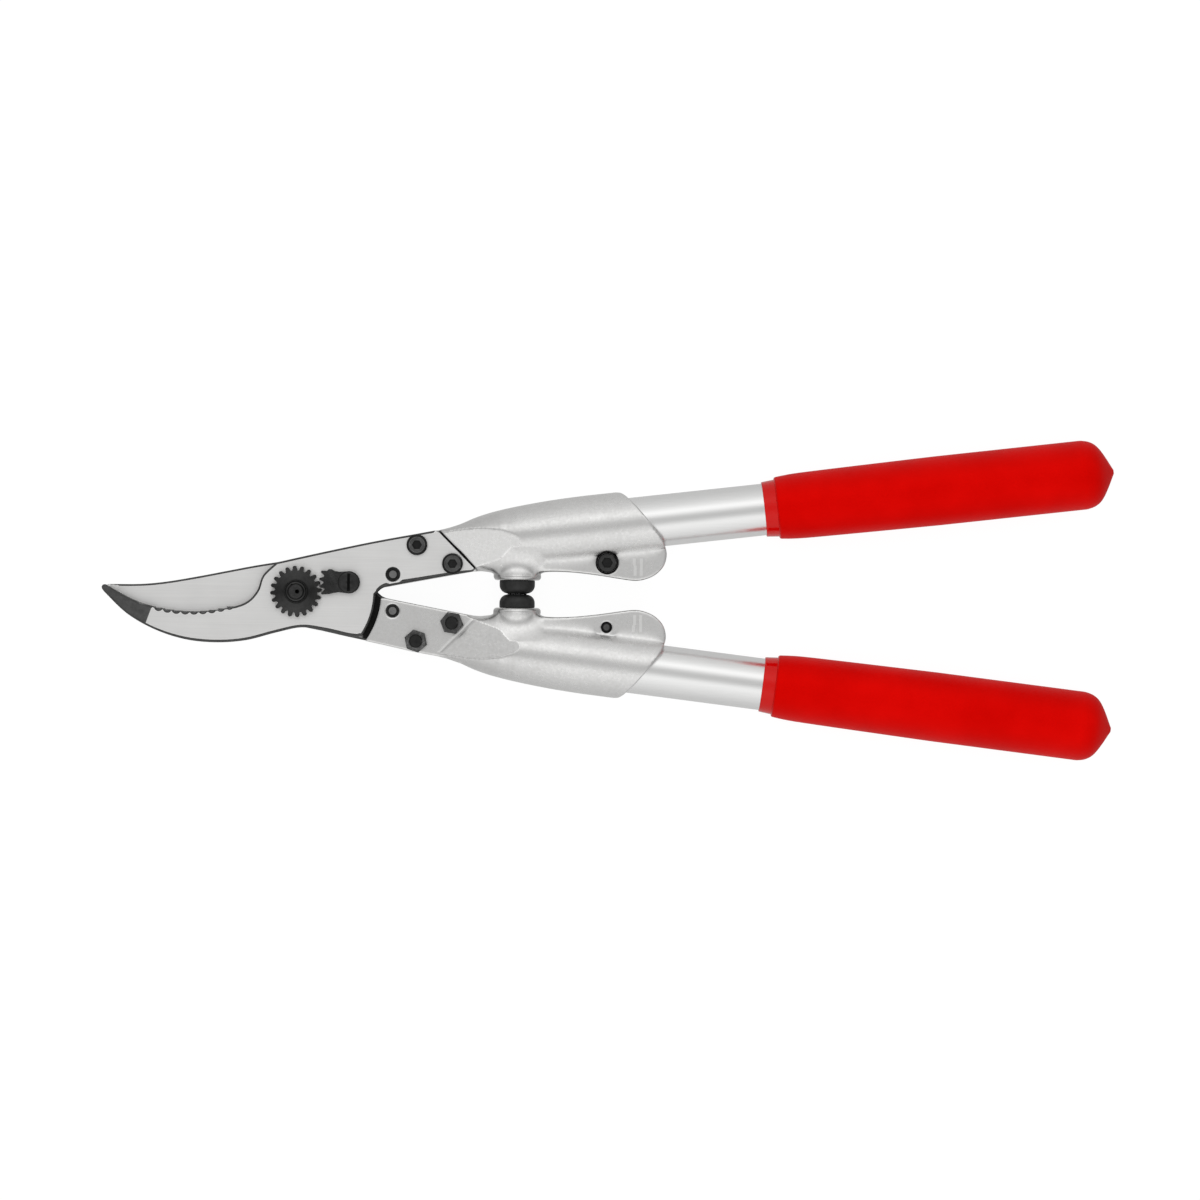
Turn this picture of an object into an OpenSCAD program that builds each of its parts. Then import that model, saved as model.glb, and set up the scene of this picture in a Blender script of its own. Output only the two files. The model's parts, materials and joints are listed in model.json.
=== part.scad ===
// Two-hand pruning shears of the bypass kind, lying flat, closed.
// A hooked counter-blade and a curved cutting blade turn on one greased bolt. Each blade is
// bolted to a cast aluminium head, and each head clamps a straight tube with a long grip.
// X runs from the hook towards the grips, Y across the two handles, Z up.
// The origin is at the middle of the length, midway between the handles, at resting level.
// The lower handle with the cutting blade is the upper one turned half round about X.
// Everything is laid out from the pivot axis and moved to the origin at the end by place().

/* [Handles] */
// Angle of each handle away from the middle line, degrees
handle_angle = 6.8; // [6.4:0.1:7.4]
// Distance of the handle line from the pivot, measured across the shears
handle_offset = 12.62; // [12.2:0.1:13.0]
// Outer diameter of the handle tube
tube_d = 20.5; // [19.6:0.1:20.6]
// Wall thickness of the handle tube
tube_wall = 1.8; // [1.2:0.1:3]
// Diameter of the straight rear stretch of the grip
grip_d = 27.4; // [26.5:0.1:27.8]
// Where the grip starts, measured along the handle from the pivot
grip_start = 185.8; // [180:0.1:188]
// Where the grip ends, measured along the handle from the pivot
grip_end = 325.05; // [322:0.05:330]

/* [Blades] */
// Thickness of each blade
blade_t = 5; // [4.4:0.1:5]
// Space between the two blades where they slide past each other
blade_gap = 0.1; // [0.06:0.01:0.2]
// Radius of the rounded cutting edge
edge_r = 70.3; // [69.6:0.1:71]
// Width of the ground bevel behind the cutting edge
bevel_w = 8.5; // [5:0.5:9]
// Number of sap notches in the hook's inner edge
notch_count = 9; // [5:1:9]
// Distance between two sap notches
notch_pitch = 3.5; // [3.3:0.1:3.6]

/* [Pivot] */
// Shank diameter of the pivot bolt
bolt_d = 10; // [9:0.5:11]
// Running clearance of the bolt in the cutting blade, each side
bolt_fit = 0.05; // [0.02:0.01:0.1]
// Number of teeth on the adjusting nut
nut_teeth = 20; // [20:1:20]
// Radius over the tooth tips of the adjusting nut
nut_tip_r = 10.15; // [9.9:0.05:10.3]
// Radius at the tooth roots of the adjusting nut
nut_root_r = 8.3; // [7.8:0.1:8.5]
// Thickness of the adjusting nut and of its locking segment
nut_t = 3; // [2.4:0.2:3.6]

/* [Cast heads] */
// Outer radius of the round socket that holds the tube
socket_r = 13; // [12.6:0.1:13.2]
// Slope of the flat facet that rises from the blade end, degrees
facet_slope = 18; // [16:0.5:19]
// Full thickness of the flat web and clamp ears
web_t = 13; // [12:0.5:14]
// Width of the clamp slit
slit_w = 1.2; // [0.8:0.2:2]

/* [Buffers] */
// Diameter of the rubber buffer
buffer_d = 14; // [12:0.5:15]
// Space left between the two buffers when closed
buffer_gap = 0.06; // [0.04:0.02:0.3]

/* [Hidden] */
$fn = 96;
pivot_x = -122.96;
rest_z = grip_d / 2;
za = blade_gap / 2;
zt = blade_t;
tube_r = tube_d / 2;
grip_r = grip_d / 2;
bolt_r = bolt_d / 2;
edge_c = [-31.5, 57.1];
plate_arc_r = 31.2;
pad_arc_r = 33.4;
screw_a = [47.5, 19.0];
screw_b = [61.6, 11.7];
dowel_at = [38.1, 7.2];
clamp_at = [122.7, 12.75];
segment_at = [20.8, 3.85];
buffer_x = 87.2;
buffer_y = 5.4;
diag = 80.9;

// ---- curves ----

// One point of a smooth curve between b and c
function between(a, b, c, d, t) =
  0.5 * (2 * b + (c - a) * t + (2 * a - 5 * b + 4 * c - d) * t * t
         + (3 * b - a - 3 * c + d) * t * t * t);

// Smooth curve through a list of points, n steps a span
function smooth(p, n = 5) = [
  for (i = [0 : len(p) - 2], j = [0 : n - 1])
    between(p[max(i - 1, 0)], p[i], p[i + 1], p[min(i + 2, len(p) - 1)], j / n),
  p[len(p) - 1]
];

// Points on an arc about c, from angle a to angle b
function arc(c, r, a, b, n) = [
  for (i = [0 : n]) c + r * [cos(a + (b - a) * i / n), sin(a + (b - a) * i / n)]
];

// Points turned over the middle line
function flipped(p) = [for (q = p) [q[0], -q[1]]];

// ---- outlines shared by both halves ----

// Long outer edge of blade shank and head, from the pivot to the diagonal end
outer_edge = [[-8, 11.4], [10, 15.6], [30, 20.0], [46, 23.1], [54.4, 24.7]];

// Rounded end of the shank: top corner, diagonal, lower corner
shank_end = [[55.4, 24.6], [56.4, 24.0], [69.9, 10.4], [70.2, 9.7], [69.9, 9.0], [69.2, 8.6]];

// Inner edge of the shank towards the throat
inner_edge = [[60, 7.1], [50, 5.2], [40, 3.3], [35.2, 2.2], [33.6, 1.5], [32.4, 0.5]];

// Hook of the counter-blade: outer belly, tip and inner cutting side
belly = smooth([[23.2, -17.7], [20, -17.25], [11, -15.3], [2, -14.15], [-8, -16.3], [-20, -19.5],
                [-32, -20.45], [-44, -19.3], [-56, -15.5], [-67, -9.3], [-76.0, -0.8]]);
hook_tip = [[-76.75, 0.2], [-76.95, 1.1], [-76.5, 1.85], [-75.8, 2.05]];
inner_hook = smooth([[-75.1, 1.8], [-66, -3.2], [-56, -6.6], [-42, -8.3], [-30, -7.3],
                     [-20.5, -4.8], [-15.6, 0.0], [-13.3, 6.2], [-8, 11.4]]);

// Back edge of the cutting blade
blade_back = smooth([[-75.2, 1.9], [-73.6, 2.15], [-62, 2.3], [-52, 3.3], [-40, 5.4], [-28, 7.8],
                     [-16, 10.2], [-2, 12.6], [10, 15.2], [21.5, 17.3]]);

module counter_outline() {
  polygon(concat(
    smooth(outer_edge, 3),
    shank_end,
    smooth(inner_edge, 3),
    arc([0, 0], plate_arc_r, -1.5, -33.5, 12),
    [[25.1, -17.6], [24.2, -17.8]],
    belly,
    hook_tip,
    inner_hook
  ));
}

module cutting_outline() {
  heel = atan2(-11.2 - edge_c[1], -14.6 - edge_c[0]);
  tip = atan2(1.5 - edge_c[1], -75.1 - edge_c[0]) + 360;
  polygon(concat(
    blade_back,
    [[23.6, 17.5], [24.9, 17.1]],
    arc([0, 0], plate_arc_r, 32.5, 1.5, 12),
    flipped([for (i = [len(inner_edge) - 1 : -1 : 0]) inner_edge[i]]),
    flipped([for (i = [len(shank_end) - 1 : -1 : 0]) shank_end[i]]),
    [[46, -22.9], [30, -19.6], [20, -17.6], [10, -15.4], [0, -13.5], [-7, -12.3], [-10.5, -11.2]],
    arc(edge_c, edge_r, heel + 360, tip - 0.0, 40)
  ));
}

// Notches that let sap out of the hook's inner edge
module sap_notches() {
  for (i = [0 : notch_count - 1]) {
    x = -40.3 + (i - (notch_count - 1) / 2) * notch_pitch;
    y = -8.3 + 0.0085 * (x + 42) * (x + 42);
    translate([x, y + 0.47, -1])
      cylinder(r = 1.32, h = blade_t + 2, $fn = 32);
  }
}

// ---- blades ----

module counter_blade_body() {
  difference() {
    translate([0, 0, za])
      linear_extrude(zt - za)
        counter_outline();
    sap_notches();
    pivot_flats(0.04);
    translate([segment_at[0], segment_at[1], -1])
      cylinder(r = 1.55, h = 10, $fn = 32);
    shank_holes();
  }
}

module cutting_blade_body() {
  difference() {
    translate([0, 0, -zt])
      linear_extrude(zt - za)
        cutting_outline();
    translate([0, 0, -10])
      cylinder(r = bolt_r + bolt_fit, h = 20, $fn = 64);
    edge_bevel();
    rotate([180, 0, 0])
      shank_holes();
  }
}

// Ground bevel on the outside face of the cutting edge
module edge_bevel() {
  intersection() {
    translate([edge_c[0], edge_c[1], 0])
      rotate_extrude($fn = 180)
        polygon([[edge_r - bevel_w, -zt - 0.1], [edge_r - bevel_w, -zt], [edge_r, -0.45],
                 [edge_r + 6, -0.45], [edge_r + 6, -zt - 0.1]]);
    translate([-13.5, -13, -10])
      rotate([0, 0, 58])
        translate([-10, 0, 0])
          cube([100, 90, 20]);
  }
}

// Holes for the two blade screws and the dowel pin
module shank_holes() {
  for (p = [screw_a, screw_b])
    translate([p[0], p[1], -20])
      cylinder(r = 2.55, h = 40, $fn = 32);
  translate([dowel_at[0], dowel_at[1], -20])
    cylinder(r = 2.6, h = 40, $fn = 32);
}

// ---- pivot ----

// Shank section that keeps the bolt from turning in the counter-blade
module pivot_flats(extra) {
  intersection() {
    translate([0, 0, za - 1])
      cylinder(r = bolt_r + extra, h = zt + 1.5, $fn = 64);
    translate([-bolt_r + 1 - extra, -20, za - 2])
      cube([2 * bolt_r - 2 + 2 * extra, 40, zt + 4]);
  }
}

module pivot_bolt_body() {
  difference() {
    union() {
      translate([0, 0, -zt - 3.2])
        cylinder(r1 = 8.4, r2 = 9.2, h = 0.8, $fn = 72);
      translate([0, 0, -zt - 2.4])
        cylinder(r = 9.2, h = 2.4 - bolt_fit, $fn = 72);
      translate([0, 0, -zt - 0.5])
        cylinder(r = bolt_r, h = zt + 0.5 + za, $fn = 64);
      intersection() {
        translate([0, 0, -0.5])
          cylinder(r = bolt_r, h = zt + 0.5, $fn = 64);
        translate([-bolt_r + 1, -20, -1])
          cube([2 * bolt_r - 2, 40, zt + 2]);
      }
      translate([0, 0, zt - 0.5])
        cylinder(r = 3, h = nut_t + 1.7, $fn = 48);
      translate([0, 0, zt + nut_t + 1.2])
        cylinder(r1 = 3, r2 = 2.5, h = 0.4, $fn = 48);
    }
    translate([0, 0, -zt - 3.3])
      cylinder(r = 3.5, h = 1.9, $fn = 6);
    translate([0.6, 0, -1])
      cylinder(r = 0.8, h = 20, $fn = 24);
  }
}

module nut_tooth() {
  polygon([[nut_root_r - 1, -1.3], [nut_root_r - 0.1, -1.0], [nut_tip_r - 0.8, -0.74],
           [nut_tip_r - 0.8, 0.74], [nut_root_r - 0.1, 1.0], [nut_root_r - 1, 1.3]]);
  translate([nut_tip_r - 0.76, 0])
    circle(r = 0.76, $fn = 20);
}

module adjusting_nut_body() {
  difference() {
    union() {
      translate([0, 0, zt])
        linear_extrude(nut_t)
          union() {
            circle(r = nut_root_r, $fn = 80);
            for (k = [0 : nut_teeth - 1])
              rotate([0, 0, 3.7 + k * 360 / nut_teeth])
                nut_tooth();
          }
      translate([0, 0, zt + nut_t - 0.1])
        cylinder(r1 = 4.3, r2 = 3.8, h = 1.1, $fn = 64);
    }
    translate([0, 0, zt - 1])
      cylinder(r = 3.04, h = 10, $fn = 48);
  }
}

module segment_outline() {
  c = segment_at;
  circle_pts = arc(c, 4.4, -88, 88, 20);
  polygon(concat(circle_pts,
    [[16.9, 7.95], [15.2, 8.3], [14.0, 8.95], [12.9, 8.95], [12.2, 8.3]],
    [for (a = [156, 166.5, 173.8, 181, 188.5, 196, 205]) c + 10 * [cos(a), sin(a)]],
    [[11.8, -0.95], [13.2, -0.85], [15.0, -0.4], [16.9, -0.1]]));
  for (k = [-2 : 1])
    translate(c)
      rotate([0, 0, 188.5 + 14.7 * k])
        union() {
          polygon([[9, -1.1], [10.1, -0.95], [11.2, -0.5], [11.2, 0.5], [10.1, 0.95], [9, 1.1]]);
          translate([11.2, 0])
            circle(r = 0.52, $fn = 20);
        }
}

module locking_segment_body() {
  difference() {
    translate([0, 0, zt])
      linear_extrude(nut_t)
        segment_outline();
    translate([segment_at[0], segment_at[1], zt - 1])
      cylinder(r = 1.75, h = 10, $fn = 32);
    translate([segment_at[0], segment_at[1], zt + nut_t - 0.6])
      cylinder(r = 4.22, h = 2, $fn = 48);
  }
}

module segment_screw_body() {
  difference() {
    union() {
      translate([segment_at[0], segment_at[1], zt - 3.5])
        cylinder(r = 1.5, h = nut_t + 3.5, $fn = 32);
      intersection() {
        translate([segment_at[0], segment_at[1], zt + nut_t - 0.6])
          cylinder(r = 4.15, h = 3, $fn = 48);
        translate([segment_at[0], segment_at[1], zt + nut_t + 1.3 - 7])
          sphere(r = 7, $fn = 72);
      }
    }
    translate([segment_at[0] - 0.5, segment_at[1] - 6, zt + nut_t + 0.35])
      cube([1, 12, 3]);
  }
}

// ---- head casting ----

// Moves a shape drawn along +Z so that it runs along the upper handle
module on_handle(u) {
  translate([0, handle_offset, 0])
    rotate([0, 0, handle_angle])
      translate([u, 0, 0])
        rotate([0, 90, 0])
          children();
}

head_top = smooth([[56.1, 24.95], [60, 25.9], [65, 27.6], [70, 29.9], [76, 32.0], [86, 34.5],
                   [100, 37.2], [114, 39.3], [126, 40.75]], 3);
head_ear = smooth([[145.0, 21.0], [146.2, 16.5], [145.2, 12.0], [142.3, 8.6], [138.5, 6.6],
                   [134, 5.75], [128, 6.4], [120, 7.6], [110, 8.7], [102, 9.0], [97, 8.7]], 4);

module head_outline() {
  polygon(concat(
    head_top,
    [[127.9, 40.5], [129.6, 39.4], [134.2, 35.0], [138.3, 30.3], [142.0, 25.4]],
    head_ear,
    [[96, 8.2], [78, 8.2], [75.5, 8.6], [71.9, 9.0], [diag - 10.2, 10.2]]
  ));
}

// Flat part under the round socket: web, buffer seat and clamp ears
module web_outline() {
  polygon(concat(
    [[60, 18], [100, 24], [140, 28]],
    head_ear,
    [[96, 8.2], [78, 8.2], [75.5, 8.6], [71.9, 9.0], [diag - 10.2, 10.2]]
  ));
}

// Pad that lies flat under the blade shank
module pad_outline() {
  polygon(concat(
    arc([0, 0], pad_arc_r, 3.6, 34.2, 12),
    [[27.0, 19.1], [35, 20.8], [46, 23.2], [56.1, 24.95], [60, 25.9], [65, 27.6]],
    [[73, 22], [73, 8.9], [69.8, 8.7], [60, 6.9], [50, 5.0], [40, 3.1], [35, 2.1]]
  ));
}

module round_body() {
  on_handle(0)
    rotate_extrude($fn = 120)
      polygon(concat([[0, 74]],
        smooth([[9.4, 74], [10.9, 80.6], [11.95, 90.6], [12.65, 100.7], [socket_r, 110.8]], 4),
        [[socket_r, 150], [0, 150]]));
  translate([82.4, 22.44, 0]) {
    sphere(r = 11.3, $fn = 96);
    rotate([0, 0, 199])
      rotate([0, 90, 0])
        cylinder(r = 11.2, h = 36, $fn = 96);
  }
}

// Tilted flat that rises from the diagonal blade end, one on each face
module facet_cut() {
  translate([diag / 2 + 23.5 / 2, diag / 2 - 23.5 / 2, zt])
    rotate([0, 0, 45])
      rotate([0, -facet_slope, 0])
        translate([-20, -60, 0])
          cube([90, 120, 30]);
}

// Round seat of the buffer, with soft edges, growing out of the web
module buffer_seat() {
  translate([buffer_x, buffer_y, 0])
    rotate([-90, 0, 0])
      rotate_extrude($fn = 96)
        polygon([[0, 0], [8.2, 0], [8.95, 0.3], [9.4, 1.05], [9.45, 1.9], [9.2, 2.6], [8.6, 3.2],
                 [7.6, 4.4], [6.9, 6.4], [6.5, 9], [0, 9]]);
}

module head_casting_body() {
  difference() {
    union() {
      difference() {
        intersection() {
          translate([0, 0, -20])
            linear_extrude(40)
              head_outline();
          union() {
            round_body();
            translate([0, 0, -web_t / 2])
              linear_extrude(web_t)
                web_outline();
          }
        }
        facet_cut();
        mirror([0, 0, 1])
          facet_cut();
      }
      translate([0, 0, -zt])
        linear_extrude(zt + za)
          pad_outline();
      buffer_seat();
    }
    // room for the diagonal end of the blade shank
    translate([0, 0, za])
      linear_extrude(zt - za + 0.01)
        polygon([[20, 60.5], [20, 0], [80.5, 0]]);
    on_handle(108)
      cylinder(r = tube_r + 0.04, h = 60, $fn = 96);
    // clamp slit through the ears
    translate([104, -5, -slit_w / 2])
      cube([60, 30, slit_w]);
    translate([clamp_at[0], clamp_at[1], -20])
      cylinder(r = 2.15, h = 40, $fn = 32);
    translate([clamp_at[0], clamp_at[1], web_t / 2 - 2.7])
      cylinder(r = 4.5, h = 6, $fn = 48);
    // seat of the buffer stem
    translate([buffer_x, buffer_y - 1, 0])
      rotate([-90, 0, 0])
        cylinder(r = 3.04, h = 9, $fn = 32);
    shank_holes();
  }
}

// ---- handle parts ----

module tube_body() {
  on_handle(108.2)
    difference() {
      cylinder(r = tube_r, h = grip_end - 8 - 108.2, $fn = 96);
      translate([0, 0, -1])
        cylinder(r = tube_r - tube_wall, h = 240, $fn = 96);
    }
}

module tube_plug_body() {
  e = grip_end - 8;
  on_handle(e - 14)
    union() {
      cylinder(r = tube_r - tube_wall - 0.03, h = 14, $fn = 72);
      translate([0, 0, 14])
        cylinder(r = tube_r - 0.1, h = 1.6, $fn = 72);
    }
}

module grip_body() {
  s = grip_start;
  e = grip_end;
  b = tube_r + 0.04;
  on_handle(0)
    rotate_extrude($fn = 120)
      polygon(concat(
        [[b, s], [b + 0.5, s], [10.9, s + 0.35], [11.1, s + 2.5], [11.35, s + 5.0],
         [11.85, s + 5.1], [12.15, s + 5.35], [12.33, s + 5.9]],
        smooth([[12.55, s + 8], [13.0, s + 15], [13.3, s + 34], [grip_r - 0.12, s + 58],
                [grip_r, s + 69]], 4),
        [[grip_r, e - 12.4]],
        smooth([[grip_r - 0.05, e - 11.6], [13.0, e - 8.9], [11.5, e - 6.4], [8.9, e - 4.3],
                [5.2, e - 2.2], [1.8, e - 0.5]], 3),
        [[0.9, e], [0, e], [0, e - 6.3], [b, e - 6.3]]));
}

// Cap screw with a hexagon socket, its head sunk in the ear
module clamp_screw_body() {
  difference() {
    translate([clamp_at[0], clamp_at[1], 0])
      union() {
        translate([0, 0, -web_t / 2 + 0.2])
          cylinder(r1 = 1.2, r2 = 2.1, h = 0.8, $fn = 32);
        translate([0, 0, -web_t / 2 + 1])
          cylinder(r = 2.1, h = web_t - 3, $fn = 32);
        translate([0, 0, web_t / 2 - 2.68])
          cylinder(r = 3.75, h = 2.08, $fn = 48);
        translate([0, 0, web_t / 2 - 0.6])
          cylinder(r1 = 3.75, r2 = 3.4, h = 0.35, $fn = 48);
      }
    translate([clamp_at[0], clamp_at[1], web_t / 2 - 2.1])
      cylinder(r = 2.2, h = 3, $fn = 6);
  }
}

module blade_screw_body(p) {
  difference() {
    union() {
      translate([p[0], p[1], -zt - 4.4])
        cylinder(r1 = 2.1, r2 = 2.5, h = 0.4, $fn = 32);
      translate([p[0], p[1], -zt - 4])
        cylinder(r = 2.5, h = 2 * zt + 4.5, $fn = 32);
      translate([p[0], p[1], zt])
        cylinder(r = 4.1, h = 1.5, $fn = 48);
      translate([p[0], p[1], zt + 1.5])
        cylinder(r1 = 4.1, r2 = 3.3, h = 0.7, $fn = 48);
    }
    translate([p[0], p[1], zt + 1.95])
      cylinder(r = 2.9, h = 1, $fn = 48);
    translate([p[0], p[1], zt + 0.5])
      cylinder(r = 1.95, h = 3, $fn = 6);
  }
}

module blade_nut_body(p, turn) {
  translate([p[0], p[1], -zt])
    rotate([180, 0, turn])
      difference() {
        intersection() {
          cylinder(r = 4.62, h = 3.4, $fn = 6);
          union() {
            cylinder(r = 4.7, h = 2.8, $fn = 48);
            translate([0, 0, 2.8])
              cylinder(r1 = 4.7, r2 = 3.9, h = 0.6, $fn = 48);
          }
        }
        translate([0, 0, -1])
          cylinder(r = 2.54, h = 10, $fn = 32);
      }
}

// Pin that takes the side load of the shank, with a narrow post at each end
module dowel_pin_body() {
  translate([dowel_at[0], dowel_at[1], 0]) {
    translate([0, 0, -zt + 1.7])
      cylinder(r = 2.56, h = 2 * zt - 3.4, $fn = 32);
    translate([0, 0, -zt + 0.5])
      cylinder(r = 1.55, h = 2 * zt - 1, $fn = 32);
  }
}

module buffer_body() {
  r = buffer_d / 2;
  top = buffer_y - buffer_gap / 2;
  translate([buffer_x, buffer_y, 0])
    rotate([90, 0, 0])
      rotate_extrude($fn = 96)
        polygon(concat(
          [[0, -7], [2.6, -7], [3, -6.6], [3, 0], [r - 0.2, 0], [r, 0.2], [r, 1.9]],
          arc([r - 3.3, 1.9], 3.3, 8, 82, 8),
          [[3.6, top], [0, top]]));
}

// ---- assembly ----

// Moves the pivot layout to the shared origin
module place() {
  translate([pivot_x, 0, rest_z])
    children();
}

// Turns an upper part into its lower twin
module twin() {
  rotate([180, 0, 0])
    children();
}

module counter_blade() {
  color([0.80, 0.80, 0.79])
    place()
      counter_blade_body();
}

module cutting_blade() {
  color([0.76, 0.76, 0.75])
    place()
      cutting_blade_body();
}

module pivot_bolt() {
  color([0.20, 0.20, 0.20])
    place()
      pivot_bolt_body();
}

module adjusting_nut() {
  color([0.18, 0.18, 0.18])
    place()
      adjusting_nut_body();
}

module locking_segment() {
  color([0.18, 0.18, 0.18])
    place()
      locking_segment_body();
}

module segment_screw() {
  color([0.14, 0.14, 0.14])
    place()
      segment_screw_body();
}

module upper_head_casting() {
  color([0.72, 0.72, 0.72])
    place()
      head_casting_body();
}

module upper_tube() {
  color([0.86, 0.86, 0.86])
    place()
      tube_body();
}

module upper_grip() {
  color([0.82, 0.05, 0.03])
    place()
      grip_body();
}

module upper_tube_plug() {
  color([0.12, 0.12, 0.12])
    place()
      tube_plug_body();
}

module upper_clamp_screw() {
  color([0.22, 0.22, 0.22])
    place()
      clamp_screw_body();
}

module upper_blade_screw_front() {
  color([0.20, 0.20, 0.20])
    place()
      blade_screw_body(screw_a);
}

module upper_blade_screw_rear() {
  color([0.20, 0.20, 0.20])
    place()
      blade_screw_body(screw_b);
}

module upper_blade_nut_front() {
  color([0.20, 0.20, 0.20])
    place()
      blade_nut_body(screw_a, 18);
}

module upper_blade_nut_rear() {
  color([0.20, 0.20, 0.20])
    place()
      blade_nut_body(screw_b, 9);
}

module upper_dowel_pin() {
  color([0.35, 0.35, 0.35])
    place()
      dowel_pin_body();
}

module upper_buffer() {
  color([0.10, 0.10, 0.10])
    place()
      buffer_body();
}

module lower_head_casting() {
  color([0.72, 0.72, 0.72])
    place()
      twin()
        head_casting_body();
}

module lower_tube() {
  color([0.86, 0.86, 0.86])
    place()
      twin()
        tube_body();
}

module lower_grip() {
  color([0.82, 0.05, 0.03])
    place()
      twin()
        grip_body();
}

module lower_tube_plug() {
  color([0.12, 0.12, 0.12])
    place()
      twin()
        tube_plug_body();
}

module lower_clamp_screw() {
  color([0.22, 0.22, 0.22])
    place()
      twin()
        clamp_screw_body();
}

module lower_blade_screw_front() {
  color([0.20, 0.20, 0.20])
    place()
      twin()
        blade_screw_body(screw_a);
}

module lower_blade_screw_rear() {
  color([0.20, 0.20, 0.20])
    place()
      twin()
        blade_screw_body(screw_b);
}

module lower_blade_nut_front() {
  color([0.20, 0.20, 0.20])
    place()
      twin()
        blade_nut_body(screw_a, 18);
}

module lower_blade_nut_rear() {
  color([0.20, 0.20, 0.20])
    place()
      twin()
        blade_nut_body(screw_b, 9);
}

module lower_dowel_pin() {
  color([0.35, 0.35, 0.35])
    place()
      twin()
        dowel_pin_body();
}

module lower_buffer() {
  color([0.10, 0.10, 0.10])
    place()
      twin()
        buffer_body();
}

counter_blade();
cutting_blade();
pivot_bolt();
adjusting_nut();
locking_segment();
segment_screw();
upper_head_casting();
upper_tube();
upper_grip();
upper_tube_plug();
upper_clamp_screw();
upper_blade_screw_front();
upper_blade_screw_rear();
upper_blade_nut_front();
upper_blade_nut_rear();
upper_dowel_pin();
upper_buffer();
lower_head_casting();
lower_tube();
lower_grip();
lower_tube_plug();
lower_clamp_screw();
lower_blade_screw_front();
lower_blade_screw_rear();
lower_blade_nut_front();
lower_blade_nut_rear();
lower_dowel_pin();
lower_buffer();
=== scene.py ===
import json
import math

import bmesh
import bpy
import numpy as np
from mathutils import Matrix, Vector
from mathutils.geometry import delaunay_2d_cdt


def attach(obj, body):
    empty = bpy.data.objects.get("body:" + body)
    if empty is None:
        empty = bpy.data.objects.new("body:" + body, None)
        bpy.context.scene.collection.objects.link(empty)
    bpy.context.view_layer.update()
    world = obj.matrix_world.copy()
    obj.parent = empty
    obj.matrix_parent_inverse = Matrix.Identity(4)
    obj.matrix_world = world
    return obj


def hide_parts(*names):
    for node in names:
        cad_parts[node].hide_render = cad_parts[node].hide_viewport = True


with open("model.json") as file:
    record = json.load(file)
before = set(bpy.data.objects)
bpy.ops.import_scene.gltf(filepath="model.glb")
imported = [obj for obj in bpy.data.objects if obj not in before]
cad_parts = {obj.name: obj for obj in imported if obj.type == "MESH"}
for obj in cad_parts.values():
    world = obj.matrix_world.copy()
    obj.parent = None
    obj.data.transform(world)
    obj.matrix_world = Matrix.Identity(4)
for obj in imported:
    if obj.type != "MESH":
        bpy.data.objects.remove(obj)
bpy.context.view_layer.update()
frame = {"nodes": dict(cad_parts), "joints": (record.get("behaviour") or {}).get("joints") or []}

# Lengths in the constants and comments are millimetres. The scene itself is in metres.
MM = 0.001
nodes = frame["nodes"]
PIVOT = Vector(frame["joints"][0]["pos_m"])
PIVOT_X = PIVOT.x / MM
UPPER = "counter_blade_half"
LOWER = "cutting_blade_half"

# All places below are measured from the pivot: x towards the grips, y towards the upper half.
TILT = math.radians(6.8)  # each handle's angle away from the middle line
OFFSET = 12.62  # height of the handle line above the pivot
GRIP_START = 185.8  # where the grip begins, along the handle line
COLLAR = 5.2  # length of the grip's glossy collar
BLADE = 5.0  # thickness of each blade
HOOK_LINE = ((-57.0, -6.6), (-59.6, -13.8))  # border of the hook's dark tip
SHANK_LINE = (24.5, 26.5)  # where the cutting blade's bright ground part fades out into its dark skin, painted near black as shade
NOTCHES, NOTCH_STEP, NOTCH_R = 9, 3.5, 1.36
NOTCH_MIDDLE = -40.3
EDGE_X, EDGE_Y, EDGE_R = -31.5, 57.1, 70.3  # circle along which the cutting edge runs
BEVEL = 8.5  # width of the ground bevel behind the cutting edge
BEVEL_RISE = 4.55  # its height at the edge
HEEL = (-13.5, -13.0)  # the bevel ends on a line through this point
HEEL_TURN = math.radians(58)
HEEL_STEP = 0.35
BEVEL_END = -10.0  # along that line; in front of it the edge has no bevel, as in the CAD
SEGMENT_SCREW = (20.8, 3.85)
CLAMP_SCREW = (122.7, 12.75)
PAD_LINE = (70.5, 10.0, 57.0, 23.5)  # border between the lower half's blade pad and its facet
FACET_LEAN, FACET_RISE = 0.219, 0.951  # size of the facet normal's x and y, and of its z
BAR_MIDDLE, BAR_OFF = 134.9, 1.3  # middle between an ear's two bars, distance of each from it


# ---------------------------------------------------------------- shader help

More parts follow.
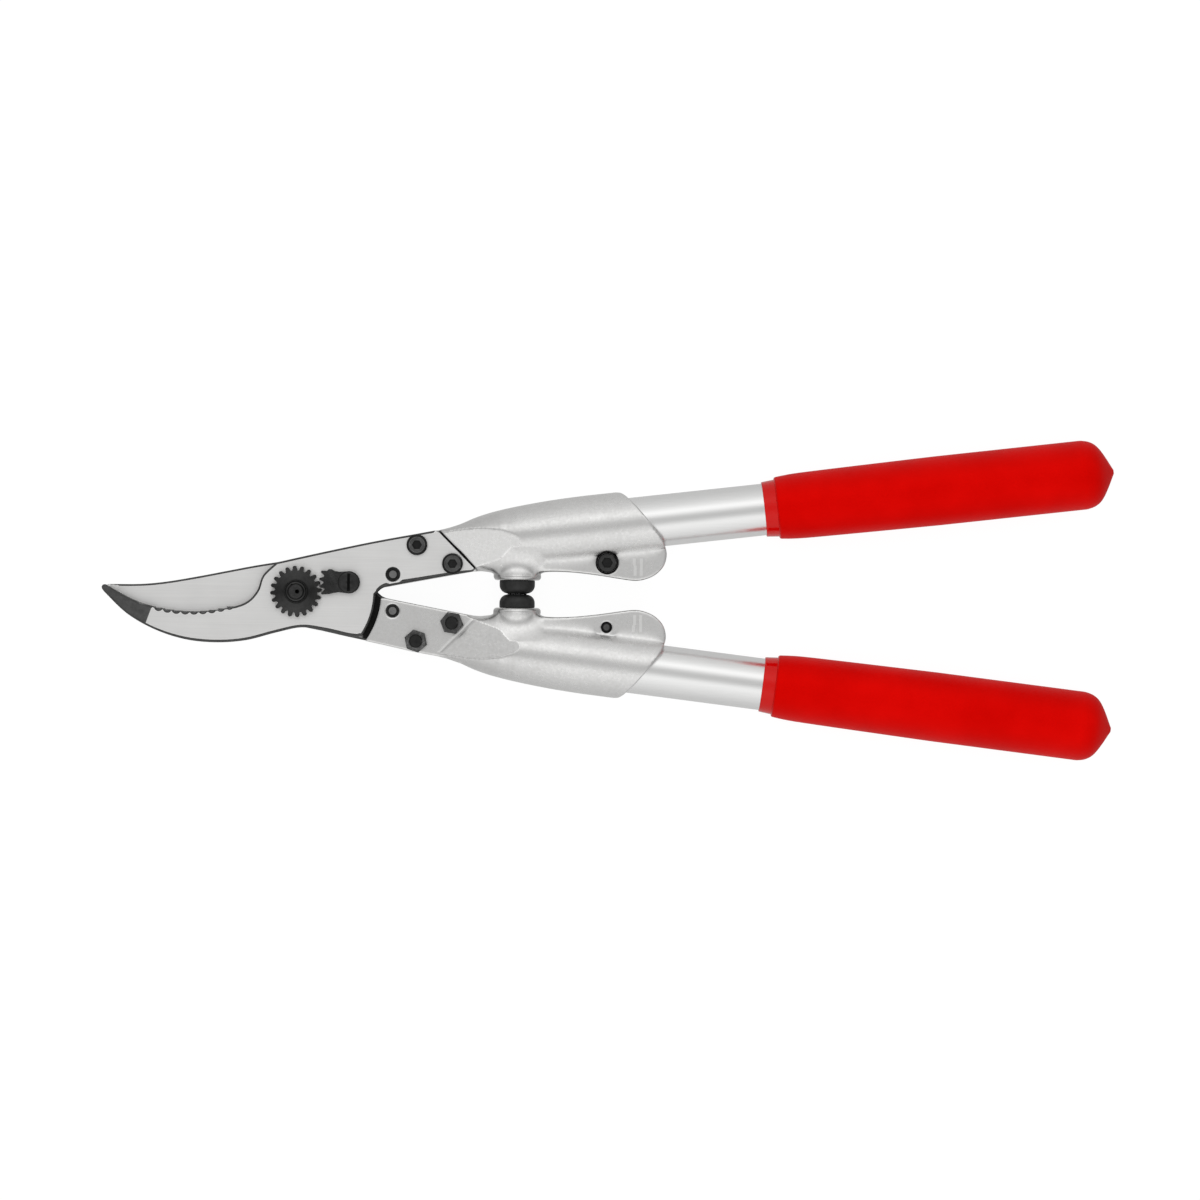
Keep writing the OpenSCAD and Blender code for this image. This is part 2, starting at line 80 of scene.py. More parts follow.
class Shader:
    """A small wrapper that keeps the node building below short."""

    def __init__(self, name):
        self.mat = bpy.data.materials.new(name)
        self.mat.use_nodes = True
        self.tree = self.mat.node_tree
        self.bsdf = self.tree.nodes["Principled BSDF"]
        self.coord = self.tree.nodes.new("ShaderNodeTexCoord").outputs["Object"]

    def node(self, kind, inputs=None, **settings):
        n = self.tree.nodes.new(kind)
        for key, value in settings.items():
            setattr(n, key, value)
        for key, value in (inputs or {}).items():
            self.feed(n.inputs[key], value)
        return n

    def feed(self, socket, value):
        if isinstance(value, bpy.types.NodeSocket):
            self.tree.links.new(value, socket)
        else:
            socket.default_value = value

    def math(self, op, a, b=0.0):
        return self.node("ShaderNodeMath", {0: a, 1: b}, operation=op).outputs[0]

    def placed(self, scale=(1, 1, 1), turn=(0, 0, 0)):
        """Object coordinates in millimetres, stretched and turned."""
        n = self.node("ShaderNodeMapping", {"Vector": self.coord, "Rotation": turn})
        n.inputs["Scale"].default_value = tuple(1000.0 * s for s in scale)
        return n.outputs["Vector"]

    def noise(self, vector, scale, detail=3.0, rough=0.55):
        return self.node("ShaderNodeTexNoise",
                         {"Vector": vector, "Scale": scale, "Detail": detail,
                          "Roughness": rough}).outputs[0]

    def span(self, value, low, high, out_low, out_high):
        """Maps low..high to out_low..out_high, clamped."""
        return self.node("ShaderNodeMapRange",
                         {"Value": value, "From Min": low, "From Max": high,
                          "To Min": out_low, "To Max": out_high}).outputs[0]

    def blend(self, factor, a, b):
        n = self.node("ShaderNodeMix", data_type="RGBA")
        self.feed(n.inputs[0], factor)
        self.feed(n.inputs[6], a)
        self.feed(n.inputs[7], b)
        return n.outputs[2]

    def bump(self, height, distance, strength=1.0, normal=None):
        n = self.node("ShaderNodeBump", {"Height": height, "Distance": distance * MM,
                                         "Strength": strength})
        if normal is not None:
            self.feed(n.inputs["Normal"], normal)
        return n.outputs["Normal"]

    def set(self, **values):
        for key, value in values.items():
            self.feed(self.bsdf.inputs[key.replace("_", " ")], value)
        return self.mat


def grey(v, warm=0.0):
    return (v * (1 + warm), v, v * (1 - warm), 1.0)


# ------------------------------------------------------------------ materials

def ground_steel(name, dark_beyond, low, high):
    """Hardened blade steel, ground bright on the flats. dark_beyond(s, x, y) gives the part
    that keeps its dark hardened skin; on the cutting blade that skin is painted near black as
    shade."""
    s = Shader(name)
    lines = s.noise(s.placed((0.018, 1.5, 1.5), (0, 0, math.radians(38))), 1.6, 4.0, 0.6)
    cloud = s.noise(s.placed(), 0.05, 2.0)
    spots = s.noise(s.placed(), 0.55, 4.0, 0.65)
    p = s.node("ShaderNodeSeparateXYZ", {"Vector": s.placed()})
    dark = dark_beyond(s, p.outputs["X"], p.outputs["Y"])
    tone = s.math("ADD", s.math("MULTIPLY", lines, 0.5), s.math("MULTIPLY", cloud, 0.5))
    bright = s.blend(s.span(tone, 0.3, 0.7, 0, 1), grey(0.87, 0.004), grey(0.98, 0.004))
    # colour of the dark part; with the cutting blade's very low values it is painted shade
    skin = s.blend(s.span(spots, 0.35, 0.7, 0, 1), grey(low), grey(high))
    normal = s.bump(lines, 0.008, 0.6)
    normal = s.bump(spots, 0.012, 0.3, normal)
    return s.set(
        Base_Color=s.blend(dark, bright, skin),
        Metallic=s.span(dark, 0, 1, 1.0, 0.75),
        Roughness=s.math("ADD", s.span(lines, 0.3, 0.7, 0.39, 0.46),
                         s.math("MULTIPLY", dark, 0.08)),
        Normal=normal,
    )


def dark_steel(name, low, high, rough=0.42):
    """Blackened or dark hardened steel with a slightly rubbed, oily look."""
    s = Shader(name)
    fine = s.noise(s.placed(), 2.2, 4.0, 0.6)
    cloud = s.noise(s.placed(), 0.35, 3.0)
    edge = s.node("ShaderNodeNewGeometry").outputs["Pointiness"]
    rub = s.math("MULTIPLY", s.span(edge, 0.52, 0.60, 0, 1), s.span(fine, 0.35, 0.65, 0.2, 1))
    base = s.blend(s.span(cloud, 0.3, 0.7, 0, 1), grey(low), grey(high))
    return s.set(
        Base_Color=s.blend(rub, base, grey(min(0.32, high * 4))),
        Metallic=0.85,
        Roughness=s.span(cloud, 0.3, 0.7, rough - 0.06, rough + 0.08),
        Normal=s.bump(fine, 0.02, 0.5),
    )


def turned_steel(name, middle, low, high):
    """Blackened steel with the fine rings of a lathe round a point. The slight dish is only in
    the shading."""
    s = Shader(name)
    p = s.node("ShaderNodeSeparateXYZ", {"Vector": s.placed()})
    x = s.math("SUBTRACT", p.outputs["X"], PIVOT_X + middle[0])
    y = s.math("SUBTRACT", p.outputs["Y"], middle[1])
    r = s.math("SQRT", s.math("ADD", s.math("MULTIPLY", x, x), s.math("MULTIPLY", y, y)))
    rings = s.noise(s.node("ShaderNodeCombineXYZ", {"X": r}).outputs[0], 4.0, 3.0, 0.7)
    around = s.node("ShaderNodeCombineXYZ", {"X": s.math("MULTIPLY", y, -1.0), "Y": x})
    cloud = s.noise(s.placed(), 0.5, 3.0)
    tone = s.math("ADD", s.math("MULTIPLY", rings, 0.6), s.math("MULTIPLY", cloud, 0.4))
    return s.set(
        Base_Color=s.blend(s.span(tone, 0.35, 0.65, 0, 1), grey(low), grey(high)),
        Metallic=0.85,
        Roughness=s.span(cloud, 0.3, 0.7, 0.20, 0.27),
        Anisotropic=0.6,
        Tangent=around.outputs[0],
        Normal=s.bump(rings, 0.03, 0.3, s.bump(r, 0.42)),
    )


def blasted_aluminium(name, low=0.745, high=0.825):
    """Cast aluminium after shot blasting: grainy, with small pits."""
    s = Shader(name)
    grain = s.noise(s.placed(), 2.4, 3.0, 0.7)
    pit = s.noise(s.placed(), 0.9, 2.0, 0.6)
    cloud = s.noise(s.placed(), 0.12, 4.0, 0.6)
    tone = s.math("ADD", s.math("MULTIPLY", pit, 0.65), s.math("MULTIPLY", cloud, 0.35))
    normal = s.bump(grain, 0.022, 0.32)
    normal = s.bump(pit, 0.04, 0.2, normal)
    return s.set(
        Base_Color=s.blend(s.span(tone, 0.35, 0.65, 0, 1), grey(low, 0.006), grey(high, 0.004)),
        Metallic=1.0,
        Roughness=s.span(tone, 0.35, 0.65, 0.33, 0.26),
        Normal=normal,
    )


def anodised_tube(name, side):
    """Drawn tube with very fine lines along it."""
    s = Shader(name)
    drawn = s.noise(s.placed((0.01, 1.0, 1.0), (0, 0, -side * TILT)), 2.2, 3.0, 0.6)
    fine = s.noise(s.placed(), 1.6, 2.0)
    return s.set(
        Base_Color=s.blend(s.span(drawn, 0.3, 0.7, 0, 1), grey(0.86), grey(0.90)),
        Metallic=1.0,
        Roughness=s.span(drawn, 0.3, 0.7, 0.23, 0.27),
        Normal=s.bump(fine, 0.002, 0.15, s.bump(drawn, 0.002, 0.3)),
    )


def red_grip(name, side):
    """Soft red plastic. The collar at the tube end is glossy, the rest has a fine matte grain."""
    s = Shader(name)
    turned = s.node("ShaderNodeMapping", {"Vector": s.coord, "Rotation": (0, 0, -side * TILT)})
    turned.inputs["Scale"].default_value = (1000.0, 1000.0, 1000.0)
    along = s.node("ShaderNodeSeparateXYZ", {"Vector": turned.outputs["Vector"]}).outputs["X"]
    start = PIVOT_X * math.cos(TILT) + OFFSET * math.sin(TILT) + GRIP_START + COLLAR
    matte = s.span(along, start - 0.3, start + 0.3, 0, 1)
    grain = s.noise(s.placed(), 2.6, 2.0, 0.6)
    cloud = s.noise(s.placed(), 0.06, 3.0)
    body = s.blend(s.span(cloud, 0.3, 0.7, 0, 1), (0.80, 0.001, 0.0, 1), (0.90, 0.002, 0.001, 1))
    return s.set(
        Base_Color=s.blend(matte, (0.76, 0.001, 0.001, 1), body),
        Metallic=s.span(matte, 0, 1, 0.0, 0.25),
        Roughness=s.math("ADD", s.span(matte, 0, 1, 0.12, 0.46),
                         s.span(grain, 0.3, 0.7, -0.03, 0.05)),
        Specular_IOR_Level=s.span(matte, 0, 1, 0.6, 0.2),
        Specular_Tint=s.blend(matte, (1.0, 0.45, 0.42, 1), (1.0, 0.10, 0.07, 1)),
        Normal=s.bump(s.math("MULTIPLY", grain, matte), 0.09, 0.7),
    )


def rubber(name):
    """Dull black rubber or plastic with a little dust."""
    s = Shader(name)
    fine = s.noise(s.placed(), 2.0, 3.0)
    dust = s.noise(s.placed(), 0.5, 3.0)
    return s.set(
        Base_Color=s.blend(s.span(dust, 0.4, 0.75, 0, 1), grey(0.012), grey(0.024)),
        Roughness=s.span(fine, 0.3, 0.7, 0.42, 0.55),
        Normal=s.bump(fine, 0.02, 0.5),
    )


def hook_skin(s, x, y):
    """1 on the dark unground tip of the hook, in front of a line across it."""
    (ax, ay), (bx, by) = HOOK_LINE
    nx, ny = (by - ay), -(bx - ax)
    size = math.hypot(nx, ny)
    d = s.math("ADD", s.math("MULTIPLY", x, nx / size), s.math("MULTIPLY", y, ny / size))
    border = (nx * (PIVOT_X + ax) + ny * ay) / size
    return s.span(d, border - 0.12, border + 0.12, 0, 1)


def shank_skin_and_shade(s, x, y):
    """1 behind the ground working part of the cutting blade; its skin there is painted near black
    as shade.
    """
    return s.span(x, PIVOT_X + SHANK_LINE[0], PIVOT_X + SHANK_LINE[1], 0, 1)


M = {
    "counter": ground_steel("ground_counter_blade", hook_skin, 0.085, 0.125),
    # the cutting blade's skin is nearly black: painted shade for the gap between the counter
    # blade's arc and the lower casting
    "cutting": ground_steel("ground_cutting_blade", shank_skin_and_shade, 0.008, 0.02),
    "skin": dark_steel("hardened_edge", 0.06, 0.10, 0.45),
    # black oxide; screw_parts, clamp_parts and dowel_parts also put it in sockets and holes as
    # painted shade
    "black": dark_steel("black_oxide", 0.020, 0.034, 0.38),
    # near black: painted shade on the floor of the segment screw's slot
    "hollow": dark_steel("slot_painted_shade", 0.004, 0.008, 0.55),
    "nut": dark_steel("black_nut", 0.035, 0.06, 0.36),
    "screw": dark_steel("black_screw", 0.08, 0.13, 0.40),
    "dowel": dark_steel("dowel_steel", 0.16, 0.22, 0.36),
    "face": turned_steel("turned_nut_face", (0.0, 0.0), 0.03, 0.06),
    "dome": turned_steel("turned_screw_head", SEGMENT_SCREW, 0.03, 0.06),
    "cast": blasted_aluminium("blasted_aluminium"),
    # the same ground facet on both castings: painted light makes the upper one lighter, painted
    # shade the lower one darker
    "upper_facet": blasted_aluminium("upper_facet_painted_light", 0.92, 0.99),
    "lower_facet": blasted_aluminium("dull_ground_facet", 0.64, 0.72),
    # lighter aluminium used as a painted highlight on the ear bars, the facet's ridge and beside
    # the pad
    "painted_highlight": blasted_aluminium("aluminium_painted_highlight", 0.90, 0.98),
    # dark aluminium for the rim that faces the other half: painted shade, darker on the upper
    # half
    "upper_edge": blasted_aluminium("upper_edge_painted_shade", 0.34, 0.42),
    "lower_edge": blasted_aluminium("lower_edge_painted_shade", 0.55, 0.65),
    "rubber": rubber("black_rubber"),
    "plug": rubber("black_plastic"),
}


# -------------------------------------------------------------------- meshes

def baked(obj):
    """The object's mesh with its modifiers applied."""
    bpy.context.view_layer.update()
    deps = bpy.context.evaluated_depsgraph_get()
    return bpy.data.meshes.new_from_object(obj.evaluated_get(deps))


def points(mesh):
    co = np.empty(len(mesh.vertices) * 3)
    mesh.vertices.foreach_get("co", co)
    return co.reshape(-1, 3)


def face_data(mesh):
    """The middle and the normal of each face."""
    mid, normal = np.empty(len(mesh.polygons) * 3), np.empty(len(mesh.polygons) * 3)
    mesh.polygons.foreach_get("center", mid)
    mesh.polygons.foreach_get("normal", normal)
    return mid.reshape(-1, 3), normal.reshape(-1, 3)


def piece_of(node, name, mesh=None):
    """A new piece that stands for a CAD node. It has the given mesh or starts from the node's."""
    if mesh is None:
        mesh = nodes[node].data.copy()
        mesh.materials.clear()
    obj = bpy.data.objects.new(name, mesh)
    bpy.context.scene.collection.objects.link(obj)
    return obj


def hand_over(obj, node, materials, sharp):
    """Gives a finished piece its materials and puts it in the place of its CAD node. Edges
    above the angle sharp, in degrees, stay crisp."""
    mesh = obj.data
    for m in materials:
        mesh.materials.append(m)
    mesh.shade_smooth()
    mesh.set_sharp_from_angle(angle=math.radians(sharp))
    m = obj.modifiers.new("normals", "WEIGHTED_NORMAL")
    m.keep_sharp = True
    m.weight = 80
    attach(obj, LOWER if node.startswith("lower") or node == "cutting_blade" else UPPER)
    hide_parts(node)


def edged(node, materials, width=None, pick=None):
    """Copies a CAD node and breaks its sharp edges by a small bevel, if a width is given.
    pick(r, deep, level) gives each face's material from its distance to the node's axis, its
    depth below the node's highest point, seen from the head of a screw, and whether it lies
    level."""
    obj = piece_of(node, node + "_edged")
    m = obj.modifiers.new("weld", "WELD")
    m.merge_threshold = 2e-6
    if width:
        m = obj.modifiers.new("flat", "DECIMATE")
        m.decimate_type = "DISSOLVE"
        m.angle_limit = math.radians(0.3)
        m = obj.modifiers.new("edge", "BEVEL")
        m.width = width * MM
        m.segments = 2
        m.limit_method = "ANGLE"
        m.angle_limit = math.radians(40)
        m.use_clamp_overlap = True
    mesh = baked(obj)
    obj.modifiers.clear()
    obj.data = mesh
    if node.endswith("buffer"):
        # the two soft buffers touch when the shears are closed
        for v in mesh.vertices:
            if abs(v.co.y) < 0.1 * MM:
                v.co.y = math.copysign(0.006 * MM, v.co.y)
    if pick:
        mid, normal = face_data(mesh)
        box = points(mesh) / MM
        box = (box.min(0) + box.max(0)) / 2, (box.max(0) - box.min(0)) / 2
        up = -1 if node.startswith("lower") else 1
        r = np.hypot(*(mid / MM - box[0])[:, :2].T)
        deep = box[1][2] - up * (mid / MM - box[0])[:, 2]
        picked = pick(r, deep, normal[:, 2] * up > 0.9)
        mesh.polygons.foreach_set("material_index", picked.astype(int))
    hand_over(obj, node, materials, 34)


def outline_loops(node, height):
    """The outline and the holes of a CAD blade at one flat face, as closed loops of points."""
    bm = bmesh.new()
    bm.from_mesh(nodes[node].data)
    bmesh.ops.remove_doubles(bm, verts=bm.verts, dist=2e-6)
    level = PIVOT.z + height * MM
    flat = {f for f in bm.faces if abs(f.normal.z) > 0.9
            and all(abs(v.co.z - level) < 2e-5 for v in f.verts)}
    after = {}
    for f in flat:
        for loop in f.loops:
            if sum(g in flat for g in loop.edge.link_faces) == 1:
                after[loop.vert] = loop.link_loop_next.vert
    loops = []
    while after:
        start, here = next(iter(after.items()))
        ring = [start]
        del after[start]
        while here is not start:
            ring.append(here)
            here = after.pop(here)
        loops.append(np.array([((v.co - PIVOT) / MM)[:2] for v in ring]))
    bm.free()
    # counter-clockwise outline first, holes clockwise
    def area(p):
        return 0.5 * np.sum(p[:, 0] * np.roll(p[:, 1], -1) - np.roll(p[:, 0], -1) * p[:, 1])
    loops = [p if area(p) > 0 else p[::-1] for p in loops]
    loops.sort(key=lambda p: -area(p))
    return [loops[0]] + [p[::-1] for p in loops[1:]]


def spaced(p, step):
    """The same closed loop with extra points, so that no side is longer than step. The extra
    points lie on a very flat outward curve: points in one exact line upset the triangulation."""
    ahead, back = np.roll(p, -1, 0) - p, p - np.roll(p, 1, 0)
    ahead /= np.linalg.norm(ahead, axis=1, keepdims=True)
    back /= np.linalg.norm(back, axis=1, keepdims=True)
    p = p[np.abs(ahead[:, 0] * back[:, 1] - ahead[:, 1] * back[:, 0]) > 2e-4]
    out = []
    for q, r in zip(p, np.roll(p, -1, 0)):
        n = max(1, math.ceil(np.linalg.norm(r - q) / step))
        outward = np.array([(r - q)[1], -(r - q)[0]]) / np.linalg.norm(r - q)
        out += [q + (r - q) * i / n + outward * 7.5e-5 * i * (n - i) for i in range(n)]
    return np.array(out)


def reach(p, loops):
    """Distance from each point of p to the nearest side of any loop, and that side's start."""
    a = np.concatenate(loops)
    b = np.concatenate([np.roll(q, -1, 0) for q in loops])
    best = np.full(len(p), 1e9)
    side = np.zeros(len(p), int)
    for i in range(0, len(p), 400):
        q = p[i:i + 400, None]
        t = np.clip(np.sum((q - a) * (b - a), 2) / np.sum((b - a) ** 2, 1), 0, 1)
        d = np.linalg.norm(q - (a + t[..., None] * (b - a)), axis=2)
        side[i:i + 400] = d.argmin(1)
        best[i:i + 400] = d.min(1)
    return best, side


def inside(p, loops):
    """Whether each point of p lies in the area that the loops enclose, outside their holes."""
    hit = np.zeros(len(p), bool)
    for q in loops:
        for (x0, y0), (x1, y1) in zip(q, np.roll(q, -1, 0)):
            if y0 != y1:
                cross = (y0 > p[:, 1]) != (y1 > p[:, 1])
                hit ^= cross & (p[:, 0] < x0 + (p[:, 1] - y0) * (x1 - x0) / (y1 - y0))
    return hit


ROWS = (0.10, 0.36, 0.68, 1.0, 1.3)  # where the points of a rim lie, as shares of its width


def blade_face(loops, width, extra):
    """Triangles of one blade face with rows of points for its rounded rim. Returns the points,
    each point's distance to the outline, the rim width that applies there, and the faces."""
    count = sum(len(q) for q in loops)
    rows, wide = [np.concatenate(loops)], np.concatenate([width(q) for q in loops])
    for q in loops:
        ahead, back = np.roll(q, -1, 0) - q, q - np.roll(q, 1, 0)
        ahead /= np.linalg.norm(ahead, axis=1, keepdims=True)
        back /= np.linalg.norm(back, axis=1, keepdims=True)
        inward = np.stack([-(ahead + back)[:, 1], (ahead + back)[:, 0]], 1)
        inward /= np.linalg.norm(inward, axis=1, keepdims=True)
        cos = np.maximum(0.4, -inward[:, 0] * ahead[:, 1] + inward[:, 1] * ahead[:, 0])
        for part in ROWS:
            deep = width(q)[:, None] * part
            rows.append(q + inward * deep / cos[:, None])
    p = np.concatenate(rows)
    d, side = reach(p, loops)
    w = wide[side]
    keep = np.ones(len(p), bool)
    order = [0.0] * count
    for q in loops:
        for share in ROWS:
            order += [share] * len(q)
    aim = np.array(order) * w
    keep[count:] = (np.abs(d - aim) < 0.12 * w)[count:] & (w > 0.08)[count:]
    keep[count:] &= inside(p[count:], loops)
    p = p[keep]
    # points spread over the flat, so that no long thin triangle crosses the blade
    low, high = loops[0].min(0), loops[0].max(0)
    flat = np.array([(x + 1.5 * (j % 2), y) for j, y in enumerate(np.arange(low[1], high[1], 2.6))
                     for x in np.arange(low[0], high[0], 3.0)])
    if len(extra):
        far = np.array([np.hypot(*(extra - q).T).min() > 1.2 for q in flat])
        flat = np.concatenate([flat[far], extra])
    flat = flat[inside(flat, loops) & (reach(flat, loops)[0] > 2.0)]
    if len(extra):
        flat = np.concatenate([flat, extra[reach(extra, loops)[0] <= 2.0]])
    p = np.concatenate([p, flat])
    edges, n = [], 0
    for q in loops:
        edges += [(n + i, n + (i + 1) % len(q)) for i in range(len(q))]
        n += len(q)
    co, _, tri = delaunay_2d_cdt([Vector(v) for v in p], edges, [], 0, 1e-5, False)[:3]
    co = np.array([tuple(v) for v in co])
    tri = np.array(tri)
    tri = tri[inside(co[tri].mean(1), loops)]
    place = np.array([np.hypot(*(co - q).T).argmin() for q in p[:count]])
    d, side = reach(co, loops)
    on_rim = np.zeros(len(co), bool)
    on_rim[place] = True
    d[on_rim] = 0
    return co, d, wide[side], tri, place


def notch_floors():
    """Half-moon floors of the sap notches: points in millimetres and faces."""
    verts, faces = [], []
    for i in range(NOTCHES):
        x = NOTCH_MIDDLE + (i - NOTCHES // 2) * NOTCH_STEP
        y = -7.83 + 0.0085 * (x + 42) ** 2
        arc = [math.radians(a) for a in np.linspace(200.9, 339.1, 12)]
        base, n = len(verts), len(arc)
        for z in (2.6, 0.3):
            verts += [(x + NOTCH_R * math.cos(a), y + NOTCH_R * math.sin(a), z) for a in arc]
        faces.append(tuple(base + k for k in range(n)))
        faces.append(tuple(base + n + k for k in reversed(range(n))))
        faces += [(base + (k + 1) % n, base + k, base + n + k, base + n + (k + 1) % n)
                  for k in range(n)]
    return verts, faces


def rimmed(node, materials, top, width, bottom, bottom_width, extra=(), floors=None):
    """Rebuilds a flat blade with the outline of its CAD node and rounded rims on both faces.
    top is the height of the front face and bottom(p) that of the back face at the points p,
    both in millimetres from the cutting plane; the widths of the rims are functions of p too.
    extra holds points that the back face needs, and floors the points and faces of a part
    that is added as it is."""
    loops = [spaced(q, 0.8) for q in outline_loops(node, top)]
    face_a = blade_face(loops, width, [])
    face_b = blade_face(loops, bottom_width, extra)
    verts, faces, rim = [], [], []
    for (co, d, w, tri, _), sign in ((face_a, 1), (face_b, -1)):
        base = len(verts)
        gap = np.clip(w - d, 0, None)
        drop = w - np.sqrt(np.clip(w * w - gap * gap, 0, None))
        z = top - drop if sign > 0 else bottom(co) + drop
        verts += [tuple((PIVOT + Vector((x, y, h)) * MM)) for (x, y), h in zip(co, z)]
        middle, side = reach(co[tri].mean(1), loops)
        near = np.concatenate([width(q) if sign > 0 else bottom_width(q) for q in loops])[side]
        faces += [tuple(base + k for k in (t if sign > 0 else t[::-1])) for t in tri]
        rim += list(((middle < near * 1.25) & (near > 0.08)).astype(int))
        if sign < 0:
            n = 0
            for q in loops:
                m = len(q)
                for i in range(m):
                    j = (i + 1) % m
                    a0, a1 = face_a[4][n + i], face_a[4][n + j]
                    b0, b1 = base + face_b[4][n + i], base + face_b[4][n + j]
                    if a0 != a1 and b0 != b1:
                        faces.append((a0, b0, b1, a1))
                        rim.append(1)
                n += m
    if floors:
        base = len(verts)
        verts += [tuple(PIVOT + Vector(v) * MM) for v in floors[0]]
        faces += [tuple(base + k for k in f) for f in floors[1]]
        rim += [1] * len(floors[1])
    mesh = bpy.data.meshes.new(node + "_rimmed")
    mesh.from_pydata(verts, [], faces)
    mesh.polygons.foreach_set("material_index", rim)
    obj = piece_of(node, node + "_rimmed", mesh)
    hand_over(obj, node, materials, 50)


def counter_rim(p):
    """Rim of the counter blade: widest along the throat, thin on the back and at the holes."""
    x, y = p[:, 0], p[:, 1]
    if np.ptp(x) < 14:  # a hole; the one for the dowel pin has a wider rim
        return np.full(len(p), 0.3 if abs(x.mean() - 38.1) < 2 else 0.04)
    w = np.full(len(p), 0.6)
    w = np.where(y < -8, np.interp(x, [-60, -40, 0, 12, 24], [0.6, 0.8, 0.8, 1.0, 1.0]), w)
    w = np.where((x > 22) & (x < 33.5) & (y < 1.4) & (y > -17), 0.6, w)
    throat = np.interp(x, [30, 33, 36, 50, 66, 70], [0.6, 0.9, 1.2, 1.0, 0.75, 0.5])
    w = np.where((x > 30) & (x < 71) & (y < 9.9) & (y > 0), throat, w)
    w = np.where((x < -41) & (y > 0.25 * (x + 70) - 1), 0.35, w)
    w = np.where((np.abs(x + y - 80.5) < 1.0) & (y > 9), 0.15, w)  # against the casting
    return np.where(np.abs(x - NOTCH_MIDDLE) < 15.8 * (y > -10.3) * (y < -4), 0.38, w)


def even_rim(p):
    """Rim of the counter blade's back face."""
    return np.full(len(p), 0.35)


def from_edge_circle(x, y):
    """Distance from the middle of the circle along which the cutting edge runs."""
    return np.hypot(x - EDGE_X, y - EDGE_Y)


def cutting_front(p):
    """Rim of the cutting blade's front face: none to speak of along the edge and the hole."""
    x, y = p[:, 0], p[:, 1]
    edge = (np.abs(from_edge_circle(x, y) - EDGE_R) < 0.4) & (x < -9)
    w = np.where(edge, 0.03, np.interp(x, [-75.5, -70], [0.06, 0.58]))
    return np.where(np.hypot(x, y) < 6, 0.04, w)


def cutting_back_width(p):
    """Rim of the cutting blade's back face."""
    return np.where((cutting_front(p) < 0.1) | (p[:, 0] < -60), 0.03, 0.4)


def cutting_back(p):
    """Height of the back face: flat, with the ground bevel on the rear part of the edge."""
    x, y = p[:, 0], p[:, 1]
    rise = np.clip((from_edge_circle(x, y) - (EDGE_R - BEVEL)) / BEVEL, 0, 1) * BEVEL_RISE
    cos, sin = math.cos(HEEL_TURN), math.sin(HEEL_TURN)
    along = (x - HEEL[0]) * cos + (y - HEEL[1]) * sin
    across = -(x - HEEL[0]) * sin + (y - HEEL[1]) * cos
    return -BLADE + rise * np.clip(across / HEEL_STEP, 0, 1) * (along > BEVEL_END)


def bevel_lines():
    """Extra points on the inner border of the ground bevel and along its heel."""
    a = np.radians(np.linspace(200, 300, 181))
    r = EDGE_R - BEVEL
    arc = np.stack([EDGE_X + r * np.cos(a), EDGE_Y + r * np.sin(a)], 1)
    s = np.linspace(-4, 20, 40)
    cos, sin = math.cos(HEEL_TURN), math.sin(HEEL_TURN)
    heel = [np.stack([HEEL[0] + s * cos - k * sin, HEEL[1] + s * sin + k * cos], 1)
            for k in (0, HEEL_STEP)]
    return np.concatenate([arc, *heel])


class Surface:
    """The points of a mesh with fast smoothing over their neighbours."""

    def __init__(self, mesh):
        self.mesh = mesh
        self.co = points(mesh)
        pairs = np.empty(len(mesh.edges) * 2, int)
        mesh.edges.foreach_get("vertices", pairs)
        self.a, self.b = pairs.reshape(-1, 2).T
        self.count = np.bincount(np.r_[self.a, self.b], minlength=len(self.co))[:, None]

    def store(self):
        self.mesh.vertices.foreach_set("co", self.co.ravel())
        self.mesh.update()

    def relax(self, rounds, weight, fill_only=False):
        """Moves each point towards the middle of its neighbours. With fill_only the surface
        only grows outwards, which puts a fillet into hollows and leaves ridges crisp."""
        use = (weight[self.a] > 0) | (weight[self.b] > 0)
        live, ends = np.unique(np.r_[self.a[use], self.b[use]], return_inverse=True)
        a, b = ends.reshape(2, -1)
        n, co, count = len(live), self.co[live], self.count[live]
        if fill_only:
            self.store()
            normal = np.empty(len(self.co) * 3)
            self.mesh.vertices.foreach_get("normal", normal)
            normal = normal.reshape(-1, 3)[live]
        step = 0.5 * weight[live, None]
        for _ in range(rounds):
            total = np.stack([np.bincount(np.r_[a, b], np.r_[co[b, k], co[a, k]], n)
                              for k in range(3)], 1)
            move = total / count - co
            if fill_only:
                out = np.sum(move * normal, 1, keepdims=True)
                move = np.maximum(out, 0) * normal
            co = co + step * move
        self.co = self.co.copy()
        self.co[live] = co


def hump(v, middle, width):
    """A soft hump of height 1."""
    return np.exp(-((v - middle) / width) ** 2)


def ramp(v, start, end):
    """Rises from 0 at start to 1 at end."""
    return np.clip((v - start) / (end - start), 0, 1)


def off_pad_line(x, y):
    """Distance from the border line of the lower blade pad, positive on the facet's side."""
    ax, ay, bx, by = PAD_LINE
    return ((x - ax) * (by - ay) - (y - ay) * (bx - ax)) / math.hypot(bx - ax, by - ay)


def below_handle(x, y):
    """Distance below the middle line of the upper handle."""
    return (OFFSET + x * math.tan(TILT) - y) * math.cos(TILT)


